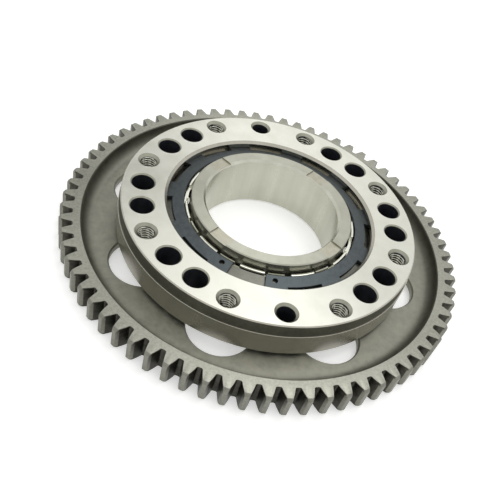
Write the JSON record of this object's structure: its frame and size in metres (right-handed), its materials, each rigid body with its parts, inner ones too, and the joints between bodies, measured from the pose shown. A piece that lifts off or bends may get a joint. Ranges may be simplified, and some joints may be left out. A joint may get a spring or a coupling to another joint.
{
  "type": "sprag clutch",
  "caption": "Starter one-way clutch: spur gear with a bored hub, drilled outer race bolted to the flywheel, and a caged ring of sprags held by a dished retaining ring.",
  "frame": {"origin": "on the clutch's turning axis, at the flat back face of the gear and hub", "axes": "+Z along the turning axis, from the gear's back face towards the bolt flange; +X and +Y lie in the gear's plane, with the two dowel holes on the Y axis"},
  "size_m": [0.146, 0.146, 0.02],
  "materials": {
    "gear_steel": "shot-blasted grey steel, with a turned bore and hub",
    "race_steel": "face ground, with a turned rim",
    "blued_steel": "black oxide on spring steel, satin",
    "cage_steel": "pressed sheet, satin",
    "spring_steel": "rolled strip, satin",
    "sprag_steel": "drawn and hardened, polished cams"
  },
  "bodies": {
    "gear": {"starter_gear": "gear_steel"},
    "race": {"outer_race": "race_steel", "retaining_ring": "blued_steel", "outer_cage": "cage_steel", "ribbon_spring": "spring_steel"},
    "inner_cage": {"inner_cage": "cage_steel"},
    "sprag_01": {"sprag_01": "sprag_steel"},
    "sprag_02": {"sprag_02": "sprag_steel"},
    "sprag_03": {"sprag_03": "sprag_steel"},
    "sprag_04": {"sprag_04": "sprag_steel"},
    "sprag_05": {"sprag_05": "sprag_steel"},
    "sprag_06": {"sprag_06": "sprag_steel"},
    "sprag_07": {"sprag_07": "sprag_steel"},
    "sprag_08": {"sprag_08": "sprag_steel"},
    "sprag_09": {"sprag_09": "sprag_steel"},
    "sprag_10": {"sprag_10": "sprag_steel"},
    "sprag_11": {"sprag_11": "sprag_steel"},
    "sprag_12": {"sprag_12": "sprag_steel"},
    "sprag_13": {"sprag_13": "sprag_steel"},
    "sprag_14": {"sprag_14": "sprag_steel"},
    "sprag_15": {"sprag_15": "sprag_steel"},
    "sprag_16": {"sprag_16": "sprag_steel"},
    "sprag_17": {"sprag_17": "sprag_steel"},
    "sprag_18": {"sprag_18": "sprag_steel"},
    "sprag_19": {"sprag_19": "sprag_steel"},
    "sprag_20": {"sprag_20": "sprag_steel"},
    "sprag_21": {"sprag_21": "sprag_steel"},
    "sprag_22": {"sprag_22": "sprag_steel"}
  },
  "joints": [
    {"name": "race_spin", "type": "hinge", "parent": "gear", "child": "race", "pos_m": [0, 0, 0.0118], "axis": [0, 0, 1], "continuous": true},
    {"name": "inner_cage_phase", "type": "hinge", "parent": "race", "child": "inner_cage", "pos_m": [0, 0, 0.0101], "axis": [0, 0, 1], "range_deg": [0, 0.3636], "stiffness_Nm_per_rad": 0.05, "springref_deg": -2.86},
    {"name": "sprag_01_tilt", "type": "hinge", "parent": "race", "child": "sprag_01", "pos_m": [-0.00977, -0.03157, 0.0101], "axis": [0, 0, 1], "range_deg": [-4.05, 0]},
    {"name": "sprag_02_tilt", "type": "hinge", "parent": "race", "child": "sprag_02", "pos_m": [-0.00048, -0.03304, 0.0101], "axis": [0, 0, 1], "range_deg": [-4.05, 0]},
    {"name": "sprag_03_tilt", "type": "hinge", "parent": "race", "child": "sprag_03", "pos_m": [0.00885, -0.03184, 0.0101], "axis": [0, 0, 1], "range_deg": [-4.05, 0]},
    {"name": "sprag_04_tilt", "type": "hinge", "parent": "race", "child": "sprag_04", "pos_m": [0.01746, -0.02806, 0.0101], "axis": [0, 0, 1], "range_deg": [-4.05, 0]},
    {"name": "sprag_05_tilt", "type": "hinge", "parent": "race", "child": "sprag_05", "pos_m": [0.02466, -0.022, 0.0101], "axis": [0, 0, 1], "range_deg": [-4.05, 0]},
    {"name": "sprag_06_tilt", "type": "hinge", "parent": "race", "child": "sprag_06", "pos_m": [0.02986, -0.01417, 0.0101], "axis": [0, 0, 1], "range_deg": [-4.05, 0]},
    {"name": "sprag_07_tilt", "type": "hinge", "parent": "race", "child": "sprag_07", "pos_m": [0.03264, -0.00518, 0.0101], "axis": [0, 0, 1], "range_deg": [-4.05, 0]},
    {"name": "sprag_08_tilt", "type": "hinge", "parent": "race", "child": "sprag_08", "pos_m": [0.03278, 0.00423, 0.0101], "axis": [0, 0, 1], "range_deg": [-4.05, 0]},
    {"name": "sprag_09_tilt", "type": "hinge", "parent": "race", "child": "sprag_09", "pos_m": [0.03026, 0.01329, 0.0101], "axis": [0, 0, 1], "range_deg": [-4.05, 0]},
    {"name": "sprag_10_tilt", "type": "hinge", "parent": "race", "child": "sprag_10", "pos_m": [0.02529, 0.02127, 0.0101], "axis": [0, 0, 1], "range_deg": [-4.05, 0]},
    {"name": "sprag_11_tilt", "type": "hinge", "parent": "race", "child": "sprag_11", "pos_m": [0.01827, 0.02754, 0.0101], "axis": [0, 0, 1], "range_deg": [-4.05, 0]},
    {"name": "sprag_12_tilt", "type": "hinge", "parent": "race", "child": "sprag_12", "pos_m": [0.00977, 0.03157, 0.0101], "axis": [0, 0, 1], "range_deg": [-4.05, 0]},
    {"name": "sprag_13_tilt", "type": "hinge", "parent": "race", "child": "sprag_13", "pos_m": [0.00048, 0.03304, 0.0101], "axis": [0, 0, 1], "range_deg": [-4.05, 0]},
    {"name": "sprag_14_tilt", "type": "hinge", "parent": "race", "child": "sprag_14", "pos_m": [-0.00885, 0.03184, 0.0101], "axis": [0, 0, 1], "range_deg": [-4.05, 0]},
    {"name": "sprag_15_tilt", "type": "hinge", "parent": "race", "child": "sprag_15", "pos_m": [-0.01746, 0.02806, 0.0101], "axis": [0, 0, 1], "range_deg": [-4.05, 0]},
    {"name": "sprag_16_tilt", "type": "hinge", "parent": "race", "child": "sprag_16", "pos_m": [-0.02466, 0.022, 0.0101], "axis": [0, 0, 1], "range_deg": [-4.05, 0]},
    {"name": "sprag_17_tilt", "type": "hinge", "parent": "race", "child": "sprag_17", "pos_m": [-0.02986, 0.01417, 0.0101], "axis": [0, 0, 1], "range_deg": [-4.05, 0]},
    {"name": "sprag_18_tilt", "type": "hinge", "parent": "race", "child": "sprag_18", "pos_m": [-0.03264, 0.00518, 0.0101], "axis": [0, 0, 1], "range_deg": [-4.05, 0]},
    {"name": "sprag_19_tilt", "type": "hinge", "parent": "race", "child": "sprag_19", "pos_m": [-0.03278, -0.00423, 0.0101], "axis": [0, 0, 1], "range_deg": [-4.05, 0]},
    {"name": "sprag_20_tilt", "type": "hinge", "parent": "race", "child": "sprag_20", "pos_m": [-0.03026, -0.01329, 0.0101], "axis": [0, 0, 1], "range_deg": [-4.05, 0]},
    {"name": "sprag_21_tilt", "type": "hinge", "parent": "race", "child": "sprag_21", "pos_m": [-0.02529, -0.02127, 0.0101], "axis": [0, 0, 1], "range_deg": [-4.05, 0]},
    {"name": "sprag_22_tilt", "type": "hinge", "parent": "race", "child": "sprag_22", "pos_m": [-0.01827, -0.02754, 0.0101], "axis": [0, 0, 1], "range_deg": [-4.05, 0]}
  ],
  "couplings": [
    {"joint": "sprag_01_tilt", "follows": "inner_cage_phase", "ratio": -11},
    {"joint": "sprag_02_tilt", "follows": "inner_cage_phase", "ratio": -11},
    {"joint": "sprag_03_tilt", "follows": "inner_cage_phase", "ratio": -11},
    {"joint": "sprag_04_tilt", "follows": "inner_cage_phase", "ratio": -11},
    {"joint": "sprag_05_tilt", "follows": "inner_cage_phase", "ratio": -11},
    {"joint": "sprag_06_tilt", "follows": "inner_cage_phase", "ratio": -11},
    {"joint": "sprag_07_tilt", "follows": "inner_cage_phase", "ratio": -11},
    {"joint": "sprag_08_tilt", "follows": "inner_cage_phase", "ratio": -11},
    {"joint": "sprag_09_tilt", "follows": "inner_cage_phase", "ratio": -11},
    {"joint": "sprag_10_tilt", "follows": "inner_cage_phase", "ratio": -11},
    {"joint": "sprag_11_tilt", "follows": "inner_cage_phase", "ratio": -11},
    {"joint": "sprag_12_tilt", "follows": "inner_cage_phase", "ratio": -11},
    {"joint": "sprag_13_tilt", "follows": "inner_cage_phase", "ratio": -11},
    {"joint": "sprag_14_tilt", "follows": "inner_cage_phase", "ratio": -11},
    {"joint": "sprag_15_tilt", "follows": "inner_cage_phase", "ratio": -11},
    {"joint": "sprag_16_tilt", "follows": "inner_cage_phase", "ratio": -11},
    {"joint": "sprag_17_tilt", "follows": "inner_cage_phase", "ratio": -11},
    {"joint": "sprag_18_tilt", "follows": "inner_cage_phase", "ratio": -11},
    {"joint": "sprag_19_tilt", "follows": "inner_cage_phase", "ratio": -11},
    {"joint": "sprag_20_tilt", "follows": "inner_cage_phase", "ratio": -11},
    {"joint": "sprag_21_tilt", "follows": "inner_cage_phase", "ratio": -11},
    {"joint": "sprag_22_tilt", "follows": "inner_cage_phase", "ratio": -11}
  ]
}
